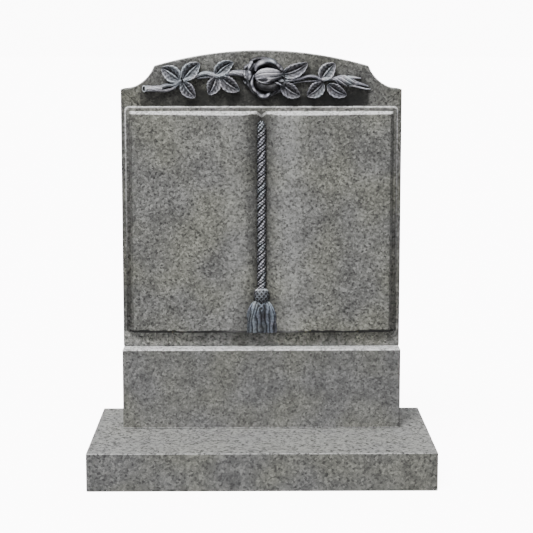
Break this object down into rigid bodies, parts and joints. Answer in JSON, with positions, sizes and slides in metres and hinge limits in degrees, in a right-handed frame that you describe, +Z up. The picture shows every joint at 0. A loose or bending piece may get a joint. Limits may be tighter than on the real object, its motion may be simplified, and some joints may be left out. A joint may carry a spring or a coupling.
{
  "type": "upright headstone",
  "caption": "Upright granite headstone on a plinth and base slab, its face carved with an open book, a tasselled cord and a spray of roses.",
  "frame": {"origin": "middle of the base slab's underside, on the ground", "axes": "+Z up, -Y towards the carved front, +X to the right of someone who faces the front"},
  "size_m": [0.914, 0.457, 1.1366],
  "materials": {
    "base_granite": "fine rubbed grey granite, top a little lighter",
    "plinth_granite": "fine rubbed grey granite",
    "tablet_granite": "fine rubbed grey granite, carving hand finished"
  },
  "bodies": {
    "root": {"base_slab": "base_granite", "plinth": "plinth_granite", "tablet": "tablet_granite"}
  },
  "joints": []
}
